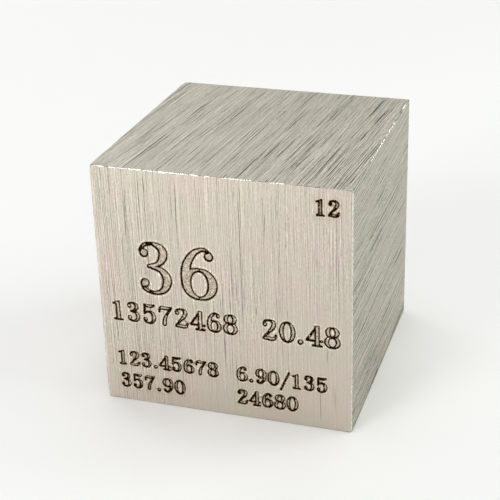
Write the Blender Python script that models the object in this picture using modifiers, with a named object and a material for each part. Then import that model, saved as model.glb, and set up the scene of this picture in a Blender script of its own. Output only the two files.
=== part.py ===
"""A one-inch cube of brushed bismuth with plain figures engraved in its front face.

Metres, +Z up. The origin is the middle of the underside, and the engraved front looks along -Y.
"""

import math

import bpy
from mathutils import Vector
from mathutils.geometry import delaunay_2d_cdt

MM = 0.001

# The block.
SIDE = 25.4 * MM
EDGE_BREAK = 0.12 * MM

# The engraving is a flat-bottomed cut of one depth. Its cutter stands proud of the face.
ENGRAVING_DEPTH = 0.08 * MM
CUTTER_PROUD = 0.42 * MM

# The lines of figures: text, then left end, foot and height of the figures in millimetres,
# measured from the lower left corner of the front.
LINES = (
    ("12", 21.75, 22.64, 1.6),
    ("36", 4.0, 12.5, 5.5),
    ("13572468", 1.0, 9.16, 2.1),
    ("20.48", 16.5, 9.1, 2.2),
    ("123.45678", 1.3, 4.1, 1.6),
    ("6.90/135", 13.8, 4.1, 1.6),
    ("357.90", 1.5, 1.5, 1.6),
    ("24680", 13.8, 1.5, 1.6),
)

# The figures are drawn one unit tall, and their knots are then spread sideways by WIDEN.
# HAIR and STEM are the half widths of a thin and of a thick stroke.
HAIR = 0.024
STEM = 0.08
WIDEN = 1.12
TURNED_WIDTH = 0.66
ADVANCE = 0.79
NARROW_ADVANCE = {".": 0.42, "/": 0.66}

# Straight runs between two knots of a stroke, and sides of a ball.
LARGE_FIGURE = 3.0
LARGE_DETAIL = (4, 14)
SMALL_DETAIL = (1, 6)
RING_KNOTS = 12
WELD = 1e-5


def clear_scene():
    for thing in list(bpy.data.objects):
        bpy.data.objects.remove(thing, do_unlink=True)


def new_collection(name):
    collection = bpy.data.collections.new(name)
    bpy.context.scene.collection.children.link(collection)
    return collection


def ellipse_ring(middle_x, middle_z, radius_x, radius_z):
    """A closed stroke round an ellipse, thick at its sides and thin at its top and foot."""
    knots = []
    for index in range(RING_KNOTS):
        angle = math.tau * index / RING_KNOTS
        half = HAIR + (STEM - HAIR) * abs(math.cos(angle)) ** 1.6
        x = middle_x + radius_x * math.cos(angle)
        knots.append((x, middle_z + radius_z * math.sin(angle), half))
    return ("ring", *knots)


def slab_foot(middle):
    """The slab serif under an upright stem, with a bracket on each side of the stem."""
    return [
        ("bar", (middle - 0.19, 0.0), (middle + 0.19, 0.045)),
        ("stroke", (middle - 0.10, 0.045, 0.012), (middle - 0.055, 0.13, 0.02)),
        ("stroke", (middle + 0.10, 0.045, 0.012), (middle + 0.055, 0.13, 0.02)),
    ]


def turned(shapes):
    """The same shapes turned half round about the middle of the figure."""
    return [
        (kind, *((TURNED_WIDTH - x, 1.0 - z, half) for x, z, half in knots))
        for kind, *knots in shapes
    ]


# The right side and the foot of a lower bowl, which 3 and 5 share, and the ball that ends it.
LOWER_BOWL = (
    (0.515, 0.30, 0.076),
    (0.45, 0.10, 0.05),
    (0.30, HAIR, HAIR),
    (0.14, 0.075, HAIR),
    (0.095, 0.18, HAIR),
)
LOWER_BALL = ("ball", (0.14, 0.205, 0.072))

SIX = [
    ellipse_ring(0.34, 0.30, 0.215, 0.275),
    (
        "stroke",
        (0.53, 0.90, HAIR),
        (0.43, 0.975, HAIR),
        (0.28, 0.90, 0.045),
        (0.16, 0.70, 0.068),
        (0.12, 0.48, STEM),
        (0.125, 0.30, STEM),
    ),
    ("ball", (0.51, 0.845, 0.07)),
]

# Each figure is a list of shapes. A stroke runs through knots of (x, height, half width).
FIGURES = {
    "0": [ellipse_ring(0.33, 0.5, 0.235, 0.475)],
    "1": [
        ("bar", (0.255, 0.02), (0.405, 0.93)),
        ("stroke", (0.385, 0.965, HAIR), (0.29, 0.895, 0.04), (0.13, 0.845, HAIR)),
        *slab_foot(0.33),
    ],
    "2": [
        ("ball", (0.15, 0.755, 0.075)),
        (
            "stroke",
            (0.10, 0.80, HAIR),
            (0.16, 0.925, HAIR),
            (0.31, 0.975, HAIR),
            (0.475, 0.90, 0.06),
            (0.50, 0.74, STEM),
            (0.41, 0.54, 0.062),
            (0.24, 0.32, 0.035),
            (0.085, 0.10, HAIR),
        ),
        (
            "stroke",
            (0.10, 0.075, 0.045),
            (0.22, 0.085, 0.07),
            (0.42, 0.07, 0.07),
            (0.53, 0.11, 0.045),
            (0.585, 0.26, HAIR),
        ),
    ],
    "3": [
        ("ball", (0.15, 0.785, 0.07)),
        (
            "stroke",
            (0.10, 0.83, HAIR),
            (0.16, 0.94, HAIR),
            (0.30, 0.975, HAIR),
            (0.44, 0.90, 0.06),
            (0.465, 0.755, 0.07),
            (0.38, 0.60, 0.042),
            (0.22, 0.535, HAIR),
        ),
        ("stroke", (0.24, 0.535, HAIR), (0.43, 0.475, 0.05), *LOWER_BOWL),
        LOWER_BALL,
    ],
    "4": [
        ("bar", (0.365, 0.02), (0.51, 0.975)),
        ("stroke", (0.43, 0.96, HAIR), (0.035, 0.28, HAIR)),
        ("bar", (0.02, 0.235), (0.635, 0.285)),
        *slab_foot(0.4375),
    ],
    "5": [
        (
            "stroke",
            (0.125, 0.965, 0.03),
            (0.27, 0.925, 0.055),
            (0.42, 0.925, 0.055),
            (0.535, 0.975, HAIR),
        ),
        ("stroke", (0.13, 0.95, HAIR), (0.11, 0.51, HAIR)),
        (
            "stroke",
            (0.115, 0.515, HAIR),
            (0.20, 0.60, HAIR),
            (0.34, 0.625, 0.035),
            (0.475, 0.53, 0.068),
            *LOWER_BOWL,
        ),
        LOWER_BALL,
    ],
    "6": SIX,
    "7": [
        (
            "stroke",
            (0.075, 0.70, HAIR),
            (0.10, 0.86, 0.04),
            (0.22, 0.92, 0.07),
            (0.40, 0.90, 0.065),
            (0.60, 0.965, HAIR),
        ),
        (
            "stroke",
            (0.60, 0.965, HAIR),
            (0.44, 0.66, 0.035),
            (0.31, 0.38, 0.065),
            (0.27, 0.08, 0.078),
        ),
    ],
    "8": [ellipse_ring(0.33, 0.755, 0.185, 0.22), ellipse_ring(0.33, 0.275, 0.225, 0.25)],
    "9": turned(SIX),
    "/": [("stroke", (0.03, -0.22, 0.03), (0.50, 1.03, 0.03))],
    ".": [("ball", (0.15, 0.10, 0.10))],
}


def smooth_path(knots, closed, steps):
    """Points on the Catmull-Rom curve through the knots, with their half widths."""
    points = [Vector(knot) for knot in knots]
    if closed:
        padded = [points[-1], *points, points[0], points[1]]
    else:
        padded = [2 * points[0] - points[1], *points, 2 * points[-1] - points[-2]]
    path = []
    for before, start, end, after in zip(padded, padded[1:], padded[2:], padded[3:]):
        slope = (end - before) / 2
        bend = before - 2.5 * start + 2 * end - after / 2
        twist = (3 * start - before - 3 * end + after) / 2
        for step in range(steps):
            t = step / steps
            path.append(start + slope * t + bend * t ** 2 + twist * t ** 3)
    return path if closed else [*path, points[-1]]


def stroke_faces(path, closed):
    """A band of four-sided faces along the path, with square ends."""
    sides = []
    for index, (x, z, half) in enumerate(path):
        first = index == 0 and not closed
        last = index == len(path) - 1 and not closed
        before = path[index] if first else path[index - 1]
        after = path[index] if last else path[(index + 1) % len(path)]
        run = (after - before).to_2d().normalized() * half
        across = Vector((-run.y, run.x))
        middle = Vector((x, z)) + run * (last - first)
        sides.append((middle + across, middle - across))
    following = sides[1:] + sides[:1] if closed else sides[1:]
    return [
        (left, right, next_right, next_left)
        for (left, right), (next_left, next_right) in zip(sides, following)
    ]


def shape_faces(kind, knots, steps, ball_sides):
    """The flat faces of one shape, each a list of corners."""
    if kind == "bar":
        (left, low), (right, high) = knots
        return [((left, low), (right, low), (right, high), (left, high))]
    if kind == "ball":
        x, z, radius = knots[0]
        turns = [math.tau * side / ball_sides for side in range(ball_sides)]
        return [[(x + radius * math.cos(turn), z + radius * math.sin(turn)) for turn in turns]]
    closed = kind == "ring"
    return stroke_faces(smooth_path(knots, closed, steps), closed)


def figure_outline(figure, height):
    """The union of a figure's shapes: its points, and the triangles that cover it."""
    steps, ball_sides = LARGE_DETAIL if height > LARGE_FIGURE else SMALL_DETAIL
    corners = []
    faces = []
    for kind, *knots in FIGURES[figure]:
        spread = [(x * WIDEN, z, *half) for x, z, *half in knots]
        for face in shape_faces(kind, spread, steps, ball_sides):
            faces.append(list(range(len(corners), len(corners) + len(face))))
            corners += [Vector(corner) for corner in face]
    points, _, triangles, _, _, covers = delaunay_2d_cdt(corners, [], faces, 0, WELD)
    return points, [triangle for triangle, cover in zip(triangles, covers) if cover]


def figures_sheet():
    """One flat mesh of every figure, standing just in front of the block."""
    vertices = []
    triangles = []
    for text, left, foot, height in LINES:
        for figure in text:
            points, faces = figure_outline(figure, height)
            first = len(vertices)
            triangles += [[first + corner for corner in face] for face in faces]
            for x, z in points:
                across = (left + x * height) * MM - SIDE / 2
                vertices.append((across, -SIDE / 2 - CUTTER_PROUD, (foot + z * height) * MM))
            left += NARROW_ADVANCE.get(figure, ADVANCE) * height
    sheet = bpy.data.meshes.new("figures_cutter")
    sheet.from_pydata(vertices, [], triangles)
    return sheet


def add_figures_cutter(collection):
    """The sheet of figures thickened back into the block, down to the floor of the cut."""
    cutter = bpy.data.objects.new("figures_cutter", figures_sheet())
    collection.objects.link(cutter)
    thickness = cutter.modifiers.new("thickness", "SOLIDIFY")
    thickness.thickness = CUTTER_PROUD + ENGRAVING_DEPTH
    thickness.offset = -1.0
    cutter.hide_render = True
    cutter.display_type = "WIRE"
    return cutter


def add_block(collection, cutter):
    """The cube with its edges broken and the figures cut into its front."""
    bpy.ops.mesh.primitive_cube_add(size=SIDE, location=(0.0, 0.0, SIDE / 2))
    block = bpy.context.object
    block.name = "bismuth_cube"
    block.data.name = "bismuth_cube"
    for owner in block.users_collection:
        owner.objects.unlink(block)
    collection.objects.link(block)
    edge_break = block.modifiers.new("edge_break", "BEVEL")
    edge_break.width = EDGE_BREAK
    edge_break.segments = 1
    engraving = block.modifiers.new("engraving", "BOOLEAN")
    engraving.operation = "DIFFERENCE"
    engraving.solver = "EXACT"
    engraving.object = cutter
    return block


def brushed_bismuth():
    material = bpy.data.materials.new("brushed_bismuth")
    material.use_nodes = True
    shader = material.node_tree.nodes["Principled BSDF"]
    shader.inputs["Base Color"].default_value = (0.60, 0.54, 0.46, 1.0)
    shader.inputs["Metallic"].default_value = 1.0
    shader.inputs["Roughness"].default_value = 0.45
    return material


def build():
    clear_scene()
    cutter = add_figures_cutter(new_collection("cutters"))
    block = add_block(new_collection("engraved_bismuth_cube"), cutter)
    block.data.materials.append(brushed_bismuth())


build()
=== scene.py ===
"""Finish of the engraved bismuth cube: brushed sides, worn edges and laser-engraved figures.

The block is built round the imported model, in its frame. Objects are in metres. The small sizes of
the surface are worked out in millimetres and turned into metres when the mesh is made.
"""

import math
from typing import NamedTuple

import bmesh
import bpy
import numpy as np
from bpy.props import FloatProperty, FloatVectorProperty, IntProperty, PointerProperty
from bpy.types import Operator, Panel, PropertyGroup
from mathutils import Euler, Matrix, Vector
from mathutils.geometry import delaunay_2d_cdt


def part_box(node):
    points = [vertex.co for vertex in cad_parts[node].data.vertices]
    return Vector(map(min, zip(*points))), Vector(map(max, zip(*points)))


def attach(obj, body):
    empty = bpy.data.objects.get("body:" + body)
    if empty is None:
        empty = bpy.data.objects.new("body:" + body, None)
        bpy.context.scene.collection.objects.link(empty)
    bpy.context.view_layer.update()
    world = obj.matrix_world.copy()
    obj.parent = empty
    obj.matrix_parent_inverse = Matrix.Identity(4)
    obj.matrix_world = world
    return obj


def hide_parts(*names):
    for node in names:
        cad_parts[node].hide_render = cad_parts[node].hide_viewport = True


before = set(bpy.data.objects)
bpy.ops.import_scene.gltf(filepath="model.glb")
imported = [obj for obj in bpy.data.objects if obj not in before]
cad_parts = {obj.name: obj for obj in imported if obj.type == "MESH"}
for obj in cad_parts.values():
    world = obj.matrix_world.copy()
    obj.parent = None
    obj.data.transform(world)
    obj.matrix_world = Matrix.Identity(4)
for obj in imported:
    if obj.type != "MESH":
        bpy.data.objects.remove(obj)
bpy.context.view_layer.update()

bl_info = {
    "name": "Engraved Bismuth Cube",
    "version": (1, 0, 0),
    "blender": (4, 5, 0),
    "location": "3D View > Sidebar > Bismuth Cube",
    "description": "A brushed and laser-engraved cube of bismuth on a pale studio floor",
    "category": "Add Mesh",
}

MM = 0.001
BLOCK_NODE = "bismuth_cube"
BLOCK_LOW, BLOCK_HIGH = (Vector(corner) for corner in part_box(BLOCK_NODE))
CENTRE = (BLOCK_LOW + BLOCK_HIGH) / 2
HALF = (BLOCK_HIGH - BLOCK_LOW).x / MM / 2


def add_object(name, data):
    """A new object in the scene, with the given mesh, lamp or camera."""
    made = bpy.data.objects.new(name, data)
    bpy.context.scene.collection.objects.link(made)
    return made


# ---- Settings ----


def length_setting(name, description, default):
    """A length, in metres, that the user can change."""
    return FloatProperty(name=name, description=description, default=default, unit="LENGTH")


def count_setting(name, description, default, least=0):
    """A whole number that the user can change."""
    return IntProperty(name=name, description=description, default=default, min=least)


class BlockSettings(PropertyGroup):
    """Sizes of the block's brushed sides and of its worn edges."""

    inset: length_setting(
        "Side Inset",
        "How far the brushed sides lie inside the outer size, which the lips reach",
        0.014 * MM,
    )
    edge_break: length_setting(
        "Edge Break", "How far the break of an edge reaches onto each side", 0.065 * MM
    )
    edge_steps: count_setting("Edge Steps", "Steps along each edge", 150, least=8)
    nicks: count_setting("Nicks", "Nicks along each edge", 9)
    seed: count_setting("Seed", "Seed of the wear", 7)


class EngravingSettings(PropertyGroup):
    """Sizes of the laser-engraved figures."""

    groove_depth: length_setting(
        "Groove Depth", "Depth of the burnt groove round each figure", 0.085 * MM
    )
    floor_depth: length_setting(
        "Floor Depth", "Depth of the frosted floor inside a wide stroke", 0.045 * MM
    )
    groove_width: length_setting(
        "Groove Width", "Width of the burnt groove round each figure", 0.1 * MM
    )
    lip_height: length_setting(
        "Lip Height", "Height of the metal thrown up beside the groove", 0.012 * MM
    )
    ragged: length_setting(
        "Raggedness", "How far the outline of a figure wanders from its drawing", 0.02 * MM
    )
    step: length_setting("Outline Step", "Distance between two points along an outline", 0.06 * MM)


# ---- Figures ----

# The lines of figures: text, left end, foot and height of the figures in millimetres from the
# lower left corner of the front, how strongly the metal round them is stained by heat, and how
# wide their grooves are beside those of the small lines.
LINES = (
    ("12", 21.75, 22.64, 1.6, 1.0, 1.0),
    ("36", 4.0, 12.5, 5.5, 0.2, 1.35),
    ("13572468", 1.0, 9.16, 2.1, 0.6, 1.05),
    ("20.48", 16.5, 9.1, 2.2, 0.4, 1.05),
    ("123.45678", 1.3, 4.1, 1.6, 0.8, 1.0),
    ("6.90/135", 13.8, 4.1, 1.6, 0.75, 1.0),
    ("357.90", 1.5, 1.5, 1.6, 0.95, 1.0),
    ("24680", 13.8, 1.5, 1.6, 0.8, 1.0),
)

# The figures are drawn one unit tall, and their knots are then spread sideways by WIDEN.
# HAIR and STEM are the half widths of a thin and of a thick stroke, and RING_CONTRAST is how
# suddenly a ring changes from one to the other. TURNED_WIDTH is how wide a figure is before it
# is turned half round. ADVANCE is the distance from one figure to the next, in heights.
HAIR = 0.024
STEM = 0.08
RING_CONTRAST = 1.6
WIDEN = 1.12
TURNED_WIDTH = 0.66
ADVANCE = 0.79
NARROW_ADVANCE = {".": 0.42, "/": 0.66}
RING_KNOTS = 12
PATH_STEPS = 5
# The least half width of a cut stroke, in millimetres.
THINNEST_STROKE = 0.045


def ellipse_ring(middle_x, middle_z, radius_x, radius_z):
    """A closed stroke round an ellipse, thick at its sides and thin at its top and foot."""
    knots = []
    for index in range(RING_KNOTS):
        angle = math.tau * index / RING_KNOTS
        half = HAIR + (STEM - HAIR) * abs(math.cos(angle)) ** RING_CONTRAST
        x = middle_x + radius_x * math.cos(angle)
        knots.append((x, middle_z + radius_z * math.sin(angle), half))
    return ("ring", *knots)


def slab_foot(middle):
    """The slab serif under an upright stem, with a bracket on each side of the stem."""
    return [
        ("bar", (middle - 0.19, 0.0), (middle + 0.19, 0.045)),
        ("stroke", (middle - 0.10, 0.045, 0.012), (middle - 0.055, 0.13, 0.02)),
        ("stroke", (middle + 0.10, 0.045, 0.012), (middle + 0.055, 0.13, 0.02)),
    ]


def turned(shapes):
    """The same shapes turned half round about the middle of the figure."""
    return [
        (kind, *((TURNED_WIDTH - x, 1.0 - z, half) for x, z, half in knots))
        for kind, *knots in shapes
    ]


# The right side and the foot of a lower bowl, which 3 and 5 share, and the ball that ends it.
LOWER_BOWL = (
    (0.515, 0.30, 0.076), (0.45, 0.10, 0.05), (0.30, HAIR, HAIR),
    (0.14, 0.075, HAIR), (0.095, 0.18, HAIR),
)
LOWER_BALL = ("ball", (0.14, 0.205, 0.072))

SIX = [
    ellipse_ring(0.34, 0.30, 0.215, 0.275),
    (
        "stroke",
        (0.53, 0.90, HAIR), (0.43, 0.975, HAIR), (0.28, 0.90, 0.045),
        (0.16, 0.70, 0.068), (0.12, 0.48, STEM), (0.125, 0.30, STEM),
    ),
    ("ball", (0.51, 0.845, 0.07)),
]

# Each figure is a list of shapes. A stroke runs through knots of (x, height, half width).
FIGURES = {
    "0": [ellipse_ring(0.33, 0.5, 0.235, 0.475)],
    "1": [
        ("bar", (0.255, 0.02), (0.405, 0.93)),
        ("stroke", (0.385, 0.965, HAIR), (0.29, 0.895, 0.04), (0.13, 0.845, HAIR)),
        *slab_foot(0.33),
    ],
    "2": [
        ("ball", (0.15, 0.755, 0.075)),
        (
            "stroke",
            (0.10, 0.80, HAIR), (0.16, 0.925, HAIR), (0.31, 0.975, HAIR),
            (0.475, 0.90, 0.06), (0.50, 0.74, STEM), (0.41, 0.54, 0.062),
            (0.24, 0.32, 0.035), (0.085, 0.10, HAIR),
        ),
        (
            "stroke",
            (0.10, 0.075, 0.045), (0.22, 0.085, 0.07), (0.42, 0.07, 0.07),
            (0.53, 0.11, 0.045), (0.585, 0.26, HAIR),
        ),
    ],
    "3": [
        ("ball", (0.15, 0.785, 0.07)),
        (
            "stroke",
            (0.10, 0.83, HAIR), (0.16, 0.94, HAIR), (0.30, 0.975, HAIR),
            (0.44, 0.90, 0.06), (0.465, 0.755, 0.07), (0.38, 0.60, 0.042),
            (0.22, 0.535, HAIR),
        ),
        ("stroke", (0.24, 0.535, HAIR), (0.43, 0.475, 0.05), *LOWER_BOWL),
        LOWER_BALL,
    ],
    "4": [
        ("bar", (0.365, 0.02), (0.51, 0.975)),
        ("stroke", (0.43, 0.96, HAIR), (0.035, 0.28, HAIR)),
        ("bar", (0.02, 0.235), (0.635, 0.285)),
        *slab_foot(0.4375),
    ],
    "5": [
        (
            "stroke",
            (0.125, 0.965, 0.03), (0.27, 0.925, 0.055), (0.42, 0.925, 0.055),
            (0.535, 0.975, HAIR),
        ),
        ("stroke", (0.13, 0.95, HAIR), (0.11, 0.51, HAIR)),
        (
            "stroke",
            (0.115, 0.515, HAIR), (0.20, 0.60, HAIR), (0.34, 0.625, 0.035),
            (0.475, 0.53, 0.068),
            *LOWER_BOWL,
        ),
        LOWER_BALL,
    ],
    "6": SIX,
    "7": [
        (
            "stroke",
            (0.075, 0.70, HAIR), (0.10, 0.86, 0.04), (0.22, 0.92, 0.07),
            (0.40, 0.90, 0.065), (0.60, 0.965, HAIR),
        ),
        (
            "stroke",
            (0.60, 0.965, HAIR), (0.44, 0.66, 0.035), (0.31, 0.38, 0.065),
            (0.27, 0.08, 0.078),
        ),
    ],
    "8": [ellipse_ring(0.33, 0.755, 0.185, 0.22), ellipse_ring(0.33, 0.275, 0.225, 0.25)],
    "9": turned(SIX),
    "/": [("stroke", (0.03, -0.22, 0.03), (0.50, 1.03, 0.03))],
    ".": [("ball", (0.15, 0.10, 0.10))],
}


def smooth_path(knots, closed):
    """Points on the Catmull-Rom curve through the knots, as rows of x, height and half width."""
    points = np.array(knots, float)
    if closed:
        padded = np.vstack((points[-1], points, points[0], points[1]))
    else:
        padded = np.vstack((2 * points[0] - points[1], points, 2 * points[-1] - points[-2]))
    path = []
    for before, start, end, after in zip(padded, padded[1:], padded[2:], padded[3:]):
        slope = (end - before) / 2
        bend = before - 2.5 * start + 2 * end - after / 2
        twist = (3 * start - before - 3 * end + after) / 2
        for step in range(PATH_STEPS):
            t = step / PATH_STEPS
            path.append(start + slope * t + bend * t**2 + twist * t**3)
    path.append(points[0] if closed else points[-1])
    return np.array(path)


# Keeps a stroke that is a single point from being divided by nought.
TINY = 1e-12


class FigureLine:
    """One line of figures, in millimetres from the middle of the front.

    Burn is how wide its grooves are beside those of the small lines.
    """

    def __init__(self, text, left, foot, height, heat, burn):
        self.heat = heat
        self.burn = burn
        self.strokes = []
        self.bars = []
        cursor = left - HALF
        for figure in text:
            for kind, *knots in FIGURES[figure]:
                place = np.array([cursor, foot - HALF, 0.0])
                sized = np.array([(x * WIDEN, *rest) for x, *rest in knots]) * height
                self.add_shape(kind, sized + place[: sized.shape[1]])
            cursor += NARROW_ADVANCE.get(figure, ADVANCE) * height
        lows = [(min(x0, x1), min(z0, z1)) for x0, z0, _, x1, z1, _ in self.strokes]
        highs = [(max(x0, x1), max(z0, z1)) for x0, z0, _, x1, z1, _ in self.strokes]
        widest = max(max(r0, r1) for _, _, r0, _, _, r1 in self.strokes)
        self.low = np.min([*lows, *(bar[:2] for bar in self.bars)], 0) - widest
        self.high = np.max([*highs, *(bar[2:] for bar in self.bars)], 0) + widest

    def add_shape(self, kind, knots):
        """Adds a bar by its ends, or the short strokes that make up any other shape."""
        if kind == "bar":
            self.bars.append(knots.ravel())
            return
        knots[:, 2] = np.maximum(knots[:, 2], THINNEST_STROKE)
        path = knots if kind == "ball" else smooth_path(knots, kind == "ring")
        following = path if kind == "ball" else path[1:]
        self.strokes += [np.concatenate(pair) for pair in zip(path, following)]

    def gap(self, points):
        """Signed distance from each point to the outline of the line's figures, inside negative."""
        nearest = np.full(len(points), np.inf)
        for x0, z0, r0, x1, z1, r1 in self.strokes:
            run = np.array([x1 - x0, z1 - z0])
            from_start = points - (x0, z0)
            along = np.clip(from_start @ run / max(run @ run, TINY), 0, 1)
            away = np.linalg.norm(from_start - along[:, None] * run, axis=1)
            np.minimum(nearest, away - (r0 + (r1 - r0) * along), out=nearest)
        for left, low, right, high in self.bars:
            middle = np.array([left + right, low + high]) / 2
            reach = np.array([right - left, high - low]) / 2
            reach = np.maximum(reach, THINNEST_STROKE)
            past = np.abs(points - middle) - reach
            outside = np.linalg.norm(np.maximum(past, 0), axis=1)
            np.minimum(nearest, outside + np.minimum(past.max(1), 0), out=nearest)
        return nearest


# ---- Fields over a side ----

NOISE_CELLS = 256
NOISE_OFFSET = 97.0
SEED_LIMIT = 1 << 30


def patchy(points, size, seed):
    """Smooth random values between -1 and 1 at the points, in patches of about the given size."""
    table = np.random.default_rng(seed).uniform(-1, 1, (NOISE_CELLS, NOISE_CELLS))
    cells = np.asarray(points, float) / size + NOISE_OFFSET
    low = np.floor(cells).astype(int)
    part = cells - low
    part = part * part * (3 - 2 * part)
    x0, y0 = (low % NOISE_CELLS).T
    x1, y1 = ((low + 1) % NOISE_CELLS).T
    near = table[x0, y0] * (1 - part[:, 0]) + table[x1, y0] * part[:, 0]
    far = table[x0, y1] * (1 - part[:, 0]) + table[x1, y1] * part[:, 0]
    return near * (1 - part[:, 1]) + far * part[:, 1]


def patchy_along(places, size, seed):
    """The same along a line."""
    places = np.asarray(places, float)
    return patchy(np.stack((places, np.zeros(len(places))), 1), size, seed)


def uneven(points, mean, change, size, seed):
    """Values about a mean, in patches."""
    return mean + change * patchy(points, size, seed)


def grid_loops(values, level):
    """Closed loops, in grid steps, along which the values of a grid cross the level."""
    inside = values < level
    corners = ((0, 0), (1, 0), (1, 1), (0, 1))
    width, height = inside.shape[0] - 1, inside.shape[1] - 1
    case = sum(
        inside[dx : width + dx, dy : height + dy] * 2**bit
        for bit, (dx, dy) in enumerate(corners)
    )
    links = {}
    for x, y in np.argwhere((case > 0) & (case < 15)):
        ring = [(x + dx, y + dy) for dx, dy in corners]
        crossings = [
            (min(a, b), max(a, b))
            for a, b in zip(ring, ring[1:] + ring[:1])
            if inside[a] != inside[b]
        ]
        if len(crossings) == 4 and inside[ring[0]]:
            crossings = crossings[1:] + crossings[:1]
        for one, other in zip(crossings[::2], crossings[1::2]):
            links.setdefault(one, []).append(other)
            links.setdefault(other, []).append(one)
    loops = []
    while links:
        start = next(iter(links))
        loop = [start]
        here = start
        while True:
            onward = links.pop(here)
            here = next((step for step in onward if step in links), None)
            if here is None:
                break
            loop.append(here)
        loops.append(loop)
    return [np.array([crossing_place(values, level, *pair) for pair in loop]) for loop in loops]


def crossing_place(values, level, low, high):
    """Where the values reach the level between two neighbouring grid points."""
    share = (level - values[low]) / (values[high] - values[low])
    return np.array(low) + share * (np.array(high) - np.array(low))


def even_loop(loop, step):
    """The loop with its points moved to even distances, or None where it is too short to keep."""
    closed = np.vstack((loop, loop[:1]))
    lengths = np.linalg.norm(np.diff(closed, axis=0), axis=1)
    travel = np.concatenate(([0], np.cumsum(lengths)))
    count = int(round(travel[-1] / step))
    if count < 3:
        return None
    stops = np.linspace(0, travel[-1], count, endpoint=False)
    return np.stack([np.interp(stops, travel, closed[:, axis]) for axis in (0, 1)], 1)


# The gap of a point that no figure is near to.
FAR_GAP = 0.6


class Marks:
    """What the points of a surface carry: their height, and how engraving and wear colour them."""

    def __init__(self, count):
        self.height = np.zeros(count)
        self.gap = np.full(count, FAR_GAP)
        self.heat = np.zeros(count)
        self.scratch = np.zeros(count)


# ---- Engraving ----


class Engraving:
    """The laser-engraved figures of the front, as a field over the side and as outlines."""

    # Steps of the grid on which the outlines are traced, and how far it reaches past them.
    GRID = 0.035
    GRID_MARGIN = 3 * GRID
    # How far outside a figure its heat stain reaches, and how much coarser the outline is there.
    HALO = 0.5
    HALO_STEPS = 3
    # Distance between strewn points, and how far they keep from the outlines.
    STREWN_STEP = 0.14
    STREWN_MARGIN = 0.02
    SHORTEST_LOOP = 0.2
    # Gaps in groove widths at which the profile turns: floor, bottom of the groove, rim, and the
    # top and foot of the lip.
    PROFILE = (-0.9, -0.4, 0.0, 0.32, 0.75)
    # How the outline wanders, twice over, and how the lip, groove and floor vary: mean, change,
    # size of the patches in millimetres, and seed.
    WAVERS = ((0.0, 1.2, 0.13, 11), (0.0, 0.8, 0.06, 12))
    LIP = (0.35, 1.1, 0.12, 21)
    GROOVE = (0.85, 0.2, 0.2, 22)
    FLOOR = (1.0, 0.3, 0.11, 23)

    def __init__(self, settings):
        self.lines = [FigureLine(*line) for line in LINES]
        self.groove_depth = settings.groove_depth / MM
        self.floor_depth = settings.floor_depth / MM
        self.lip_height = settings.lip_height / MM
        self.ragged = settings.ragged / MM
        self.step = settings.step / MM
        self.turns = np.array(self.PROFILE) * (settings.groove_width / MM)

    def ragged_gap(self, line, points):
        """Distance in millimetres outside a line's ragged outline, over its burn."""
        wander = sum(uneven(points, *waver) for waver in self.WAVERS)
        return (line.gap(points) + self.ragged * wander) / line.burn

    def outlines(self):
        """The lines along which the surface bends, as closed loops of points."""
        loops = []
        for line in self.lines:
            low = line.low - self.HALO * line.burn - self.GRID_MARGIN
            high = line.high + self.HALO * line.burn + self.GRID_MARGIN
            xs = np.arange(low[0], high[0], self.GRID)
            zs = np.arange(low[1], high[1], self.GRID)
            grid = np.stack(np.meshgrid(xs, zs, indexing="ij"), -1).reshape(-1, 2)
            gaps = self.ragged_gap(line, grid).reshape(len(xs), len(zs))
            for level in (*self.turns, self.HALO):
                step = self.step * (self.HALO_STEPS if level == self.HALO else 1)
                for loop in grid_loops(gaps, level):
                    even = even_loop(low + loop * self.GRID, step)
                    if even is not None and len(even) * step > self.SHORTEST_LOOP:
                        loops.append(even)
        return loops

    def strewn_points(self, rng):
        """Points strewn over the floors of the wide strokes and close outside the figures."""
        kept = []
        for line in self.lines:
            low = line.low - self.HALO
            size = line.high + self.HALO - low
            count = int(size[0] * size[1] / self.STREWN_STEP**2)
            points = low + rng.uniform(0, 1, (count, 2)) * size
            gap = self.ragged_gap(line, points)
            on_floor = gap < self.turns[0] - self.STREWN_MARGIN
            outside = gap > self.turns[-1] + self.STREWN_MARGIN
            in_halo = gap < self.HALO - self.STREWN_MARGIN
            kept.append(points[on_floor | outside & in_halo])
        return np.vstack(kept)

    def mark(self, points, marks):
        """Marks the points with their gap and heat, and sinks or lifts them by the profile."""
        for line in self.lines:
            high = line.high + FAR_GAP * line.burn
            low = line.low - FAR_GAP * line.burn
            near = np.where((points < high).all(1) & (points > low).all(1))[0]
            gap = self.ragged_gap(line, points[near])
            closer = gap < marks.gap[near]
            marks.gap[near[closer]] = gap[closer]
            marks.heat[near[closer]] = line.heat
        lip = self.lip_height * np.clip(uneven(points, *self.LIP), 0, 1)
        groove = self.groove_depth * uneven(points, *self.GROOVE)
        floor = self.floor_depth * uneven(points, *self.FLOOR)
        heights = np.stack((-floor, -groove, 0 * lip, lip, 0 * lip))
        place = np.interp(marks.gap, self.turns, np.arange(len(self.turns)))
        below = np.minimum(place.astype(int), len(self.turns) - 2)
        share = place - below
        column = np.arange(len(points))
        marks.height += heights[below, column] * (1 - share) + heights[below + 1, column] * share


# ---- Scratches ----


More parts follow.
